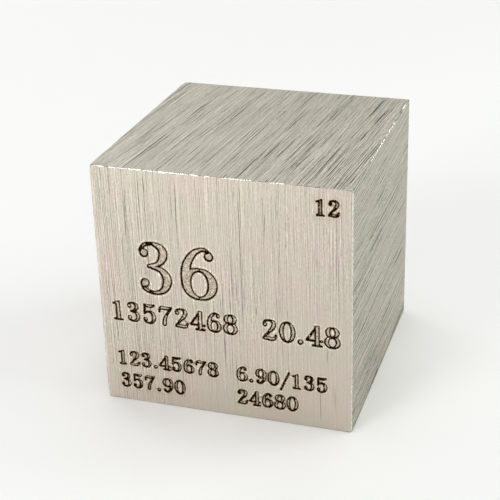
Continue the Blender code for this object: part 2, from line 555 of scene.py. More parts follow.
class Scratch:
    """A shallow groove with a V section along a path of points, narrowing at both ends."""

    # How fast it widens from its ends, and its width at the very end.
    WIDENING = 6
    END_WIDTH = 0.15

    def __init__(self, path, half_width, depth):
        self.path = np.asarray(path, float)
        self.half_width = half_width
        self.depth = depth
        run = np.gradient(self.path, axis=0)
        run /= np.linalg.norm(run, axis=1)[:, None]
        share = np.linspace(0, 1, len(self.path))
        from_end = np.minimum(share, 1 - share)
        self.widths = half_width * np.minimum(1, self.WIDENING * from_end + self.END_WIDTH)
        aside = np.stack((-run[:, 1], run[:, 0]), 1) * self.widths[:, None]
        self.chains = [self.path, self.path + aside, self.path - aside]

    def mark(self, points, marks):
        """Marks and sinks the points that lie in the scratch."""
        low = self.path.min(0) - self.half_width
        high = self.path.max(0) + self.half_width
        near = np.where((points >= low).all(1) & (points <= high).all(1))[0]
        best = np.zeros(len(near))
        for start, end, w0, w1 in zip(self.path, self.path[1:], self.widths, self.widths[1:]):
            run = end - start
            away = points[near] - start
            along = np.clip(away @ run / (run @ run), 0, 1)
            distance = np.linalg.norm(away - along[:, None] * run, axis=1)
            width = w0 + (w1 - w0) * along
            deep = np.clip(1 - distance / width, 0, 1) * width / self.half_width
            np.maximum(best, deep, out=best)
        marks.scratch[near] = np.maximum(marks.scratch[near], best)
        marks.height[near] = np.minimum(marks.height[near], -self.depth * best)


# ---- Block ----


class Side:
    """One side of the block: its axes as it is looked at, its brushing and its scratches.

    The brushing runs up the side, or across it, turned by tilt degrees. Long scratches are given
    by their two ends, and strays is how many more the brushing left.
    """

    def __init__(self, name, across, up, brushed="up", tilt=0.0, spread=1.0, strays=30, long=()):
        self.name = name
        self.across = Vector(across)
        self.up = Vector(up)
        self.out = self.across.cross(self.up)
        angle = math.radians((90 if brushed == "up" else 0) + tilt)
        self.brush = np.array([math.cos(angle), math.sin(angle)])
        self.spread = spread
        self.strays = strays
        self.long = long

    def place(self, point, height):
        """The place in the block, in millimetres from its middle, of a point of the side."""
        return self.across * point[0] + self.up * point[1] + self.out * (HALF + height)


SIDES = (
    Side(
        "front",
        (1, 0, 0), (0, 0, 1),
        tilt=0.4,
        spread=1.0,
        strays=34,
        long=(
            (-7.36, 12.2, -7.3, 9.7),
            (-4.2, 12.2, -4.28, 6.7),
            (1.86, 12.2, 1.98, -3.3),
            (3.4, -0.1, 3.35, -1.3),
            (4.45, 10.1, 4.3, 6.7),
        ),
    ),
    Side(
        "right",
        (0, 1, 0), (0, 0, 1),
        brushed="across",
        tilt=1.2,
        spread=1.2,
        strays=80,
        long=((-11.1, -8.8, -2.5, -8.6), (-6.7, -7.3, 3.3, -7.0)),
    ),
    Side("back", (-1, 0, 0), (0, 0, 1), tilt=-0.6, spread=1.5, strays=50),
    Side("left", (0, -1, 0), (0, 0, 1), brushed="across", tilt=-0.8, spread=1.5, strays=50),
    Side(
        "top",
        (1, 0, 0), (0, 1, 0),
        tilt=-4.5,
        spread=2.5,
        strays=130,
        long=((-3.2, -12.2, -1.54, 10.7), (5.4, -12.2, 7.7, 8.3)),
    ),
    Side("underside", (1, 0, 0), (0, -1, 0), tilt=3.0, spread=3.0, strays=60),
)
EDGE_FINISH = len(SIDES)
# Stretches of an edge that were rubbed smooth, where the break is wider; the rest of every edge is
# left rougher and is darkened by painted shade. An edge is named by its two sides and runs along
# the cross product of their outward ways. Each stretch has its start and end in millimetres from
# the middle, and how much wider the break is there.
RUBBED = {
    ("right", "top"): ((-5.6, 5.4, 0.06), (-11.5, -8.8, 0.06)),
    ("front", "top"): ((0.8, 12.5, 0.02), (-3.2, -0.6, 0.01), (-6.2, -5.0, 0.0)),
    ("front", "right"): ((-12.5, 12.5, 0.02),),
}
# How far scratches and scattered points keep from the ends of a side, and how far apart those
# points lie.
SCRATCH_MARGIN = 0.42
SCATTER_STEP = 0.8
# Half width and depth of a long scratch, half widths of a stray, and its depth in half widths.
LONG_SCRATCH = (0.045, 0.016)
STRAY_WIDTHS = (0.014, 0.034)
STRAY_DEPTH = 0.45
# Half length of a stray: the least, how much more on average, and the most.
STRAY_REACH = (0.4, 1.6, 9.0)
SHORTEST_STRAY = 0.3
# Steps of a scratch in millimetres, the fewest points of one, and how far it bows in lengths.
SCRATCH_STEP = 1.2
FEWEST_POINTS = 4
BOW = 0.008


def side_scratches(side, rng):
    """The long scratches of a side and the strays along its brushing."""
    limit = HALF - SCRATCH_MARGIN
    scratches = []
    for x0, y0, x1, y1 in side.long:
        ends = np.clip([(x0, y0), (x1, y1)], -limit, limit)
        scratches.append(bent_scratch(*ends, *LONG_SCRATCH, rng))
    least, more, most = STRAY_REACH
    for _ in range(side.strays):
        middle = rng.uniform(-limit, limit, 2)
        turn = math.radians(rng.normal(0, side.spread))
        turned_brush = np.array([-side.brush[1], side.brush[0]])
        way = side.brush * math.cos(turn) + turned_brush * math.sin(turn)
        reach = way * min(least + rng.exponential(more), most)
        ends = np.clip([middle - reach, middle + reach], -limit, limit)
        if np.linalg.norm(ends[1] - ends[0]) > SHORTEST_STRAY:
            half_width = rng.uniform(*STRAY_WIDTHS)
            scratches.append(bent_scratch(*ends, half_width, STRAY_DEPTH * half_width, rng))
    return scratches


def bent_scratch(start, end, half_width, depth, rng):
    """A scratch between two points that bows a little to one side."""
    length = np.linalg.norm(end - start)
    share = np.linspace(0, 1, max(FEWEST_POINTS, int(length / SCRATCH_STEP) + 2))
    run = (end - start) / length
    aside = np.array([-run[1], run[0]])
    bow = rng.uniform(-BOW, BOW) * length
    path = start + share[:, None] * (end - start)
    path = path + (4 * bow * share * (1 - share))[:, None] * aside
    return Scratch(path, half_width, depth)


class Drawing:
    """Points and links over a side, for the triangulation to keep."""

    def __init__(self, border):
        self.points = [*border]
        self.links = []

    def add_chain(self, chain, closed=False):
        first = len(self.points)
        self.points.extend(chain)
        last = len(self.points) - 1
        self.links.extend((index, index + 1) for index in range(first, last))
        if closed:
            self.links.append((last, first))


def dull_and_shaded_stretches(places, rubbed):
    """Where an edge is left rough and darkened by painted shade, 1, and where it was rubbed smooth,
    0.
    """
    dull_and_shaded = np.ones(len(places))
    for first, last, _ in rubbed:
        dull_and_shaded[(places > first) & (places < last)] = 0.0
    return dull_and_shaded


class Shell:
    """The block's mesh while it is put together. Points are in millimetres from its middle."""

    # Points of a side that are closer together than this become one.
    WELD = 1e-5
    # How worn a corner is, in edge breaks, and how far its middle lies in, in its own wear.
    CORNER_WEAR = (1.2, 2.6)
    CORNER_DROP = 0.5
    # How an edge's wear varies: size of the patches in millimetres, and how much they change it.
    WEAR_PATCHES = ((2.3, 0.3), (0.4, 0.3))
    # The same for the difference between its two sides, and for the height of the crest.
    SIDE_PATCHES = (0.4, 0.05)
    CREST_PATCHES = (0.3, 0.015)
    CREST_HEIGHT = 0.36
    # A rubbed stretch: how far it takes to fade, its patches, their mean and their change.
    RUB_FADE = 0.4
    RUB_PATCHES = (0.3, 0.8, 0.6)
    # Nicks: half widths, depths and how much of that depth is reached. At its ends an edge
    # takes on the wear of its corners.
    NICK_WIDTHS = (0.12, 0.5)
    NICK_DEPTHS = (0.02, 0.1)
    NICK_SHARES = (0.2, 1)
    CORNER_FADE = 0.5

    def __init__(self, settings):
        self.inset = settings.inset / MM
        self.edge_break = settings.edge_break / MM
        self.edge_steps = settings.edge_steps
        self.nicks = settings.nicks
        self.rng = np.random.default_rng(settings.seed)
        self.points = []
        self.marks = []
        self.faces = []
        self.finishes = []
        self.corner_insets = {}
        self.corner_points = {}
        self.crest_ends = {}
        self.chains = {}

    def add_point(self, place, gap=FAR_GAP, heat=0.0, scratch=0.0):
        self.points.append(place)
        self.marks.append((gap, heat, scratch))
        return len(self.points) - 1

    def add_face(self, corners, finish):
        self.faces.append(corners)
        self.finishes.append(finish)

    def corner_inset(self, corner):
        if corner not in self.corner_insets:
            self.corner_insets[corner] = self.edge_break * self.rng.uniform(*self.CORNER_WEAR)
        return self.corner_insets[corner]

    def corner_point(self, side, corner):
        """The point of a side nearest to a corner of the block."""
        key = (side.name, corner)
        if key not in self.corner_points:
            inset = self.corner_inset(corner)
            reach = Vector(corner) * (HALF - inset)
            out = side.out * (HALF - self.inset)
            flat = reach - side.out * reach.dot(side.out)
            self.corner_points[key] = self.add_point(flat + out)
        return self.corner_points[key]

    def new_seed(self):
        return int(self.rng.integers(SEED_LIMIT))

    def edge_wear(self, places, rubbed):
        """How wide the break of an edge is on the whole at each place along the edge."""
        seed = self.new_seed()
        wear = np.ones(len(places))
        for size, change in self.WEAR_PATCHES:
            wear += change * patchy_along(places, size, seed)
            seed += 1
        wear *= self.edge_break
        size, mean, change = self.RUB_PATCHES
        rub = mean + change * patchy_along(places, size, seed)
        for first, last, extra in rubbed:
            rise = np.clip((places - first) / self.RUB_FADE, 0, 1)
            fall = np.clip((last - places) / self.RUB_FADE, 0, 1)
            wear += extra * rise * fall * rub
        return wear

    def edge_insets(self, places, start, end, wear):
        """How far the break of an edge reaches onto a side at each place along the edge."""
        size, change = self.SIDE_PATCHES
        insets = wear * (1 + change * patchy_along(places, size, self.new_seed()))
        for _ in range(self.nicks):
            middle = self.rng.uniform(places[0], places[-1])
            width = self.rng.uniform(*self.NICK_WIDTHS)
            depth = self.rng.uniform(*self.NICK_DEPTHS) * self.rng.uniform(*self.NICK_SHARES)
            insets += depth * np.clip(1 - np.abs(places - middle) / width, 0, 1)
        from_start = np.clip((places - places[0]) / self.CORNER_FADE, 0, 1)
        from_end = np.clip((places[-1] - places) / self.CORNER_FADE, 0, 1)
        insets = start + (insets - start) * from_start
        return end + (insets - end) * from_end

    def edge_rows(self, one, other, way, corners, places, insets, dull_and_shaded):
        """The points along an edge: a row on each side and the crest between them."""
        size, change = self.CREST_PATCHES
        crest = self.CREST_HEIGHT + change * patchy_along(places, size, self.new_seed())
        flush = HALF - self.inset
        rows = [[], [], []]
        for index, place in enumerate(places):
            along = way * place
            if index in (0, len(places) - 1):
                corner = corners[0] if index == 0 else corners[1]
                rows[0].append(self.corner_point(one, corner))
                rows[2].append(self.corner_point(other, corner))
            else:
                on_one = one.out * flush + other.out * (HALF - insets[0][index])
                on_other = other.out * flush + one.out * (HALF - insets[1][index])
                rows[0].append(self.add_point(on_one + along))
                rows[2].append(self.add_point(on_other + along))
            reach = (insets[0][index] + insets[1][index]) / 2
            drop = self.inset + crest[index] * (reach - self.inset)
            crest_point = (one.out + other.out) * (HALF - drop) + along
            # The crest carries in its scratch mark where the edge is left rough and darkened by
            # painted shade.
            rows[1].append(self.add_point(crest_point, scratch=dull_and_shaded[index]))
        return rows

    def add_edge(self, one, other):
        """The broken edge between two sides: a chain of points on each and a crest between."""
        way = one.out.cross(other.out)
        corners = [
            tuple(int(round(value)) for value in one.out + other.out + way * turn)
            for turn in (-1, 1)
        ]
        start, end = (self.corner_inset(corner) for corner in corners)
        places = np.linspace(start - HALF, HALF - end, self.edge_steps + 1)
        rubbed = RUBBED.get((one.name, other.name), ())
        wear = self.edge_wear(places, rubbed)
        insets = [self.edge_insets(places, start, end, wear) for _ in range(2)]
        dull_and_shaded = dull_and_shaded_stretches(places, rubbed)
        rows = self.edge_rows(one, other, way, corners, places, insets, dull_and_shaded)
        for corner, crest in zip(corners, (rows[1][0], rows[1][-1])):
            self.crest_ends.setdefault(corner, []).append((one, other, crest))
        for row, next_row in zip(rows, rows[1:]):
            for index in range(self.edge_steps):
                quad = (row[index], next_row[index], next_row[index + 1], row[index + 1])
                self.add_face(quad, EDGE_FINISH)
        self.chains[one.name, other.name] = rows[0]
        self.chains[other.name, one.name] = rows[2][::-1]

    def add_corner(self, corner):
        """The worn corner: a fan of faces between three sides and three crests."""
        drop = self.CORNER_DROP * self.corner_inset(corner)
        middle = self.add_point(Vector(corner) * (HALF - drop))
        for one, other, crest in self.crest_ends[corner]:
            for side in (one, other):
                self.add_face((middle, crest, self.corner_point(side, corner)), EDGE_FINISH)

    def side_outline(self, side):
        """The points round a side, in order, as it is looked at."""
        outline = []
        for way in (-side.up, side.across, side.up, -side.across):
            neighbour = next(other for other in SIDES if (other.out - way).length < 0.5)
            outline += self.chains[side.name, neighbour.name][:-1]
        return outline

    def draw_side(self, side, outline, scratches, engraving):
        """The points and links of a side: its border, scratches, engraving and points between."""
        border = np.array([self.points[index] for index in outline])
        axes = np.array([side.across, side.up]).T
        drawing = Drawing(border @ axes)
        for scratch in scratches:
            for chain in scratch.chains:
                drawing.add_chain(chain)
        limit = HALF - SCRATCH_MARGIN
        count = int((2 * limit / SCATTER_STEP) ** 2)
        scatter = self.rng.uniform(-limit, limit, (count, 2))
        if engraving:
            for loop in engraving.outlines():
                drawing.add_chain(loop, closed=True)
            spare = Marks(count)
            engraving.mark(scatter, spare)
            scatter = scatter[spare.gap > engraving.HALO]
            drawing.points.extend(engraving.strewn_points(self.rng))
        drawing.points.extend(scatter)
        return drawing

    def add_side(self, side, engraving):
        """A side's flat, with its scratches and engraving, joined to the edges round it."""
        outline = self.side_outline(side)
        scratches = side_scratches(side, self.rng)
        drawing = self.draw_side(side, outline, scratches, engraving)
        flat_points = [Vector(point) for point in drawing.points]
        border = [list(range(len(outline)))]
        flat, _, triangles, sources, _, covers = delaunay_2d_cdt(
            flat_points, drawing.links, border, 0, self.WELD
        )
        flat = np.array([tuple(point) for point in flat])
        marks = Marks(len(flat))
        if engraving:
            engraving.mark(flat, marks)
        for scratch in scratches:
            scratch.mark(flat, marks)
        indices = []
        for index, source in enumerate(sources):
            edge_point = next((one for one in source if one < len(outline)), None)
            if edge_point is not None:
                indices.append(outline[edge_point])
                continue
            place = side.place(flat[index], marks.height[index] - self.inset)
            indices.append(
                self.add_point(place, marks.gap[index], marks.heat[index], marks.scratch[index])
            )
        finish = SIDES.index(side)
        for triangle, cover in zip(triangles, covers):
            if cover:
                self.add_face([indices[corner] for corner in triangle], finish)

    def object(self, name):
        """The finished mesh as an object, in metres, with its marks as attributes."""
        mesh = bpy.data.meshes.new(name)
        places = [CENTRE + Vector(point) * MM for point in self.points]
        mesh.from_pydata(places, [], self.faces)
        mesh.polygons.foreach_set("material_index", self.finishes)
        for column, mark in enumerate(("gap", "heated", "scratch")):
            attribute = mesh.attributes.new(mark, "FLOAT", "POINT")
            attribute.data.foreach_set("value", [marks[column] for marks in self.marks])
        tidy = bmesh.new()
        tidy.from_mesh(mesh)
        bmesh.ops.recalc_face_normals(tidy, faces=tidy.faces)
        tidy.to_mesh(mesh)
        tidy.free()
        mesh.update()
        return add_object(name, mesh)


def make_block(block_settings, engraving_settings):
    """The block with its worn edges, its scratches and its engraving, without its materials."""
    shell = Shell(block_settings)
    for index, one in enumerate(SIDES):
        for other in SIDES[index + 1 :]:
            if abs(one.out.dot(other.out)) < 0.5:
                shell.add_edge(one, other)
    for corner in shell.crest_ends:
        shell.add_corner(corner)
    engraving = Engraving(engraving_settings)
    for side in SIDES:
        shell.add_side(side, engraving if side.name == "front" else None)
    return shell.object("bismuth_block")


# ---- Shader and geometry graphs ----


class Number:
    """A number in a node tree that takes part in Python arithmetic."""

    def __init__(self, graph, socket):
        self.graph = graph
        self.socket = socket

    def __add__(self, other):
        return self.graph.maths("ADD", self, other)

    def __radd__(self, other):
        return self.graph.maths("ADD", other, self)

    def __sub__(self, other):
        return self.graph.maths("SUBTRACT", self, other)

    def __rsub__(self, other):
        return self.graph.maths("SUBTRACT", other, self)

    def __mul__(self, other):
        return self.graph.maths("MULTIPLY", self, other)

    def __rmul__(self, other):
        return self.graph.maths("MULTIPLY", other, self)

    def __truediv__(self, other):
        return self.graph.maths("DIVIDE", self, other)

    def __rtruediv__(self, other):
        return self.graph.maths("DIVIDE", other, self)

    def __pow__(self, other):
        return self.graph.maths("POWER", self, other)

    def __rpow__(self, other):
        return self.graph.maths("POWER", other, self)

    def __neg__(self):
        return self.graph.maths("MULTIPLY", self, -1.0)


# The noise node gives about 0.22 to 0.78; these bring it to about -1 to 1.
NOISE_MIDDLE = 0.5
NOISE_STRETCH = 3.6


class Graph:
    """A node tree being filled, for a material or for geometry nodes."""

    def __init__(self, tree):
        self.tree = tree
        tree.nodes.clear()

    def add(self, kind, settings=None, inputs=None):
        """A new node. Inputs are by name or index, and hold constants, sockets or numbers."""
        node = self.tree.nodes.new(kind)
        for setting, value in (settings or {}).items():
            setattr(node, setting, value)
        for name, value in (inputs or {}).items():
            self.feed(node.inputs[name], value)
        return node

    def feed(self, socket, value):
        if isinstance(value, Number):
            value = value.socket
        if isinstance(value, bpy.types.NodeSocket):
            self.tree.links.new(value, socket)
        else:
            socket.default_value = value

    def maths(self, operation, *values):
        node = self.add("ShaderNodeMath", {"operation": operation}, dict(enumerate(values)))
        return Number(self, node.outputs[0])

    def rise(self, value, low, high):
        """A smooth step from 0 at low to 1 at high; it falls where low is the larger."""
        inputs = {"Value": value, "From Min": low, "From Max": high}
        node = self.add("ShaderNodeMapRange", {"interpolation_type": "SMOOTHSTEP"}, inputs)
        return Number(self, node.outputs["Result"])

    def limit(self, value, low=0.0, high=1.0):
        node = self.add("ShaderNodeClamp", None, {"Value": value, "Min": low, "Max": high})
        return Number(self, node.outputs["Result"])

    def mix(self, share, one, other):
        """A colour between two colours."""
        node = self.add("ShaderNodeMix", {"data_type": "RGBA"}, {0: share, 6: one, 7: other})
        return node.outputs[2]

    def scaled(self, vector, scale):
        inputs = {0: vector, "Scale": scale}
        return self.add("ShaderNodeVectorMath", {"operation": "SCALE"}, inputs).outputs[0]

    def tinted(self, vector, tint_and_painted_shade):
        inputs = {0: vector, 1: tint_and_painted_shade}
        return self.add("ShaderNodeVectorMath", {"operation": "MULTIPLY"}, inputs).outputs[0]

    def dot(self, vector, way):
        inputs = {0: vector, 1: way}
        node = self.add("ShaderNodeVectorMath", {"operation": "DOT_PRODUCT"}, inputs)
        return Number(self, node.outputs["Value"])

    def vector(self, x, y, z):
        return self.add("ShaderNodeCombineXYZ", None, {0: x, 1: y, 2: z}).outputs[0]

    def noise(self, place, detail=1.0):
        """Noise at a place, about -1 to 1."""
        inputs = {"Vector": place, "Scale": 1.0, "Detail": detail}
        node = self.add("ShaderNodeTexNoise", None, inputs)
        return (Number(self, node.outputs["Fac"]) - NOISE_MIDDLE) * NOISE_STRETCH

    def mark(self, name):
        """A mark that the mesh carries at its points."""
        node = self.add("ShaderNodeAttribute", {"attribute_name": name})
        return Number(self, node.outputs["Fac"])

    def bump(self, height, distance):
        inputs = {"Strength": 1.0, "Distance": distance, "Height": height}
        return self.add("ShaderNodeBump", None, inputs).outputs["Normal"]

    def place_in_mm(self):
        coordinates = self.add("ShaderNodeTexCoord").outputs["Object"]
        return self.scaled(coordinates, 1 / MM)

    def surface(self, looks):
        """The material's surface, from what the principled shader is fed."""
        shader = self.add("ShaderNodeBsdfPrincipled", None, looks)
        self.add("ShaderNodeOutputMaterial", None, {"Surface": shader.outputs[0]})


def new_material(name):
    """A material and its graph, which is empty as yet."""
    material = bpy.data.materials.new(name)
    material.use_nodes = True
    return material, Graph(material.node_tree)


# ---- Finishes ----

PINK_METAL = (0.582, 0.492, 0.437, 1)
OLIVE_METAL = (0.537, 0.511, 0.418, 1)
BURNT = (0.008, 0.0024, 0.0003, 1)
SOOT = (0.16, 0.075, 0.016, 1)
HEAT_STAIN = (0.56, 0.40, 0.21, 1)
FLECK = (0.85, 0.76, 0.62, 1)
BROWNED = (0.17, 0.115, 0.06, 1)
FROSTED = (0.54, 0.47, 0.385, 1)
EDGE_METAL = (0.84, 0.81, 0.72, 1)

# Layers of the brushing: distance between lines and their length in millimetres, degrees off the
# side's brushing, and how much each changes the tone.
BRUSHING = (
    (0.19, 0.9, 0.0, 0.20),
    (0.23, 3.6, 0.4, 0.17),
    (0.31, 1.6, -0.6, 0.09),
)
# Lone hairlines: pitch and length, degrees off the brushing, noise value at which a line starts,
# and how dark its core is.
HAIRLINES = (
    (0.10, 6.0, 0.0, 0.55, 0.36),
    (0.10, 10.0, 1.0, 0.62, 0.45),
    (0.11, 18.0, -1.3, 0.70, 0.60),
)
# The noise from a hairline's start to its core, where its rim starts and is whole before it, how
# bright the rim is beside the core's darkness, and how deep it is beside a brushed line.
HAIRLINE_CORE = 0.25
RIM_START = 0.45
RIM_WHOLE = 0.1
HAIRLINE_RIM = 0.2
HAIRLINE_DEPTH = 2.0
# Short dashes over all of it: their width and length in millimetres, and how much they show.
DASHES = (0.11, 0.28, 0.085)
# How far brushed lines waver, and the length in millimetres over which they do.
WAVER = 4.5
STRAIGHT = 400.0
# Patches in which lines waver, fade, and come and go, as widths beside a line's own.
WAVER_WIDTH = 2.4
FADING_WIDTH = 1.3
COMING_WIDTH = 1.5
# How strong a brushed line is on the whole, and how much that changes along it.
LINE_STRENGTH = 0.5
LINE_CHANGE = 0.9
# Steps through the noise that keep the layers of one side, and those of two sides, apart.
LAYER_STEP = 7.3
SIDE_LAYERS = 10.0
FADING_LAYER = 0.5
HAIRLINE_LAYER = 0.31


class Look(NamedTuple):
    """How one side's brushing looks.

    Its contrast changes by the share gain, along the way gain_way over the side, as far as the
    side's far edge. Coarseness, spread, hairlines and relief multiply the lines' distances, their
    turns, the hairlines' darkness and the lines' depth. Patchiness is how far the colour drifts
    between the two metals. The last field multiplies the side's metal: on the top and the right it
    is painted shade, the darker and greener tone that those sides show because of how light falls
    on them, and on the other sides a slight colour cast of the metal.
    """

    coarseness: float
    spread: float
    contrast: float
    gain: float
    gain_way: tuple
    hairlines: float
    patchiness: float
    relief: float
    tint_and_painted_shade: tuple


# The last column multiplies each side's metal; on the top and the right it is painted shade, darker
# and greener as light falls on those sides, and elsewhere a slight colour cast.
SIDE_LOOKS = {
    "front": Look(0.85, 1.0, 0.97, -0.8, (0.6, -0.8), 0.9, 0.4, 1.0, (0.995, 1.0, 1.01)),
    "right": Look(1.6, 1.5, 2.3, 0.2, (0.0, -1.0), 3.2, 0.4, 2.2, (0.77, 0.808, 0.775)),
    "back": Look(1.5, 1.5, 1.0, 0.0, (1.0, 0.0), 1.2, 0.45, 1.0, (0.97, 0.98, 1.0)),
    "left": Look(1.5, 1.5, 1.0, 0.0, (1.0, 0.0), 1.2, 0.45, 1.0, (0.95, 0.97, 0.98)),
    "top": Look(0.85, 2.4, 1.4, 0.9, (1.0, 0.0), 4.2, 0.12, 1.0, (0.925, 0.975, 0.97)),
    "underside": Look(1.5, 3.0, 1.1, 0.0, (1.0, 0.0), 1.5, 0.3, 1.0, (0.92, 0.94, 0.97)),
}
# Where the change of contrast starts, in millimetres past the middle; and the patches in which
# wear differs, to a millimetre, how much it does, and how much it crowds the hairlines.
GAIN_START = 2.0
WEAR_PATCHES = 0.13
WEAR_CHANGE = 0.3
CROWDING = 0.25
DARKEST, BRIGHTEST = 0.08, 1.4
TINT_PATCHES = 0.3
SCRATCH_SHADE = 0.8
METAL_ROUGHNESS = 0.42
ROUGHNESS_PATCHES = 0.7
ROUGHNESS_CHANGE = 0.03
BRUSH_HEIGHT = 0.004


def streaks(graph, across, along, pitch, length, layer):
    """Noise drawn out along the brushing, about -1 to 1."""
    place = graph.vector(across / pitch, along / length, LAYER_STEP * layer)
    return graph.noise(place, 0.0)


def brush_lines(graph, across, along, spacing, length, layer):
    """Fine straight lines side by side that fade along their length, about -1 to 1."""
    wavering = streaks(graph, across, along, WAVER_WIDTH * spacing, STRAIGHT, layer) * WAVER
    wave = graph.maths("COSINE", across * (math.tau / spacing) + wavering)
    width = FADING_WIDTH * spacing
    fading = streaks(graph, across, along, width, length, layer + FADING_LAYER)
    return wave * (LINE_STRENGTH + fading * LINE_CHANGE)


def hairlines(graph, across, along, pitch, length, start, crowding, layer):
    """Sparse straight lines that come and go, each with its rim, as two strengths from 0 to 1."""
    position = streaks(graph, across, along, pitch, STRAIGHT, layer + HAIRLINE_LAYER) + crowding
    width = COMING_WIDTH * pitch
    coming = streaks(graph, across, along, width, length, layer + FADING_LAYER)
    there = graph.rise(coming, 0.0, 0.5)
    core = graph.rise(position, start, start + HAIRLINE_CORE) * there
    rim = graph.rise(position, start - RIM_START, start - RIM_WHOLE) * there - core
    return core, rim


def side_wear(graph, side, place):
    """How strong the brushing is from place to place on a side, about 1."""
    look = SIDE_LOOKS[side.name]
    gain_way = side.across * look.gain_way[0] + side.up * look.gain_way[1]
    from_middle = graph.dot(place, gain_way) - gain_way.dot(CENTRE) / MM
    gain = graph.rise(from_middle, GAIN_START, HALF) * look.gain
    return graph.noise(graph.scaled(place, WEAR_PATCHES), 0.0) * WEAR_CHANGE + 1.0 + gain


def brushing(graph, side, across, along, worn):
    """The shade and the relief of a side's brushed lines, hairlines and dashes."""
    look = SIDE_LOOKS[side.name]
    crowding = (worn - 1.0) * CROWDING
    layer = SIDE_LAYERS * SIDES.index(side)
    shade = 0.0
    relief = 0.0
    for spacing, length, turn, strength in BRUSHING:
        layer += 1
        turned_across = across + along * math.radians(turn * look.spread)
        spacing *= look.coarseness
        line = brush_lines(graph, turned_across, along, spacing, length, layer)
        shade = line * (strength * look.contrast) + shade
        relief = line + relief
    for pitch, length, turn, start, strength in HAIRLINES:
        layer += 1
        turned_across = across + along * math.radians(turn * look.spread)
        pitch *= look.coarseness
        core, rim = hairlines(graph, turned_across, along, pitch, length, start, crowding, layer)
        shade = shade - (core - rim * HAIRLINE_RIM) * (strength * look.hairlines)
        relief = relief - core * HAIRLINE_DEPTH
    width, length, strength = DASHES
    shade = shade + streaks(graph, across, along, width, length, layer) * strength * look.contrast
    return shade, relief


def brushed_metal(side):
    """The finish of one side: brushed bismuth, burnt and frosted where it is engraved, and darkened
    by painted shade on the top and the right.
    """
    material, graph = new_material("bismuth_" + side.name)
    look = SIDE_LOOKS[side.name]
    place = graph.place_in_mm()
    along = graph.dot(place, side.across * side.brush[0] + side.up * side.brush[1])
    across = graph.dot(place, side.up * side.brush[0] - side.across * side.brush[1])
    worn = side_wear(graph, side, place)
    shade, relief = brushing(graph, side, across, along, worn)
    brightness = graph.limit(1.0 + shade * worn, DARKEST, BRIGHTEST)
    relief = relief * worn * look.relief

    patches = graph.noise(graph.scaled(place, TINT_PATCHES), 1.5)
    metal = graph.mix(graph.limit(patches * look.patchiness + 0.5), PINK_METAL, OLIVE_METAL)
    # The side's metal is multiplied by its last SIDE_LOOKS column, which is painted shade on the
    # top and the right.
    metal = graph.scaled(graph.tinted(metal, look.tint_and_painted_shade), brightness)
    metal = graph.scaled(metal, 1.0 - graph.mark("scratch") * SCRATCH_SHADE)
    patches = graph.noise(graph.scaled(place, ROUGHNESS_PATCHES), 2.0)
    roughness = METAL_ROUGHNESS + patches * ROUGHNESS_CHANGE

    if side.name == "front":
        metal, roughness, relief = engraved_finish(graph, place, metal, roughness, relief)
    normal = graph.bump(relief, BRUSH_HEIGHT * MM)
    looks = {"Base Color": metal, "Metallic": 1.0, "Roughness": roughness, "Normal": normal}
    graph.surface(looks)
    return material


# The noises of the engraving, by how many patches of each there are to a millimetre.
GRAIN = 10.0
SPECK = 5.5
CLOUD = 2.2
# Gaps at which the parts of the engraving begin and are whole.
HALO_FADE = (0.5, 0.0)
# The two gaps of the lip bound the painted highlight that brightens the metal on it.
LIP_HIGHLIGHT_INNER = (0.10, 0.13)
LIP_HIGHLIGHT_OUTER = (0.26, 0.17)
FLECK_GAPS = (0.02, -0.05)
BURN_EDGE = (0.072, 0.054)
FLOOR_EDGE = (-0.05, -0.07)
# Heats at which a line's halo shows, its soot thins, and its floors turn brown.
HALO_HEAT = (0.3, 1.2)
HOT = (0.5, 1.0)
BROWN_HEAT = (0.7, 1.15)
BROWN_CLOUD = 0.2
# The stain beside an outline: the gap where it is whole, how fast it fades, how much slower it
# does where the metal was hot, and how strong it gets.
STAIN_GAP = 0.07
STAIN_FALL = 40.0
HEAT_FALL = 20.0
STRONGEST_STAIN = 0.85
# Level of the stain and of its halo, and the shares of cloud and speck in each.
STAIN_SHARES = (0.75, 0.4, 0.3)
HALO_SHARES = (0.4, 0.2, 0.12)
# The painted highlight on the lip, and the frosted floor: brightness, what the noises change in it,
# and its limits.
LIP_HIGHLIGHT_LEVEL = 0.18
LIP_HIGHLIGHT_SPECK = 0.5
LIP_HIGHLIGHT_LIMITS = (0.0, 0.7)
FLOOR_LIGHT = 0.95
FLOOR_GRAIN = 0.6
FLOOR_SPECK = 0.15
FLOOR_LIMITS = (0.2, 1.5)
# How far grain moves the edges of the floor and of the burn.
FLOOR_RAGGED = 0.012
BURN_RAGGED = 0.02
# Grain at which the black burn turns to brown soot, and how much sooner where it was hot.
SOOT_GRAIN = (0.4, 1.3)
HOT_SOOT = 0.1
# Speck at which the burn thins where it was hot, and how much of it goes.
THIN_SPECK = (0.8, 1.2)
THINNING = 0.6
# Speck at which a fleck shows, how much sooner inside the outline, and how soon heat brings it.
FLECK_SPECK = (1.1, 1.3)
FLECK_LEAN = 0.3
FLECK_HEAT = 2.0
# What soot adds to the roughness and to the relief, and what a fleck takes from the roughness.
BURNT_ROUGHNESS = 0.25
BURNT_RELIEF = 4.0
FLECK_GLOSS = 0.3


def blotched(cloud, speck, shares):
    """A level that cloud and speck change."""
    level, clouding, speckling = shares
    return level + cloud * clouding + speck * speckling


def heat_stain(graph, gap, heat, cloud, speck):
    """How stained the metal beside a figure is: strongly at its outline, faintly round that."""
    fading = (STAIN_GAP - gap) * (STAIN_FALL - heat * HEAT_FALL)
    close = math.e**fading * blotched(cloud, speck, STAIN_SHARES)
    halo = graph.rise(gap, *HALO_FADE) * graph.rise(heat, *HALO_HEAT)
    halo = halo * blotched(cloud, speck, HALO_SHARES)
    return graph.limit(graph.maths("MAXIMUM", close, halo), 0.0, STRONGEST_STAIN)


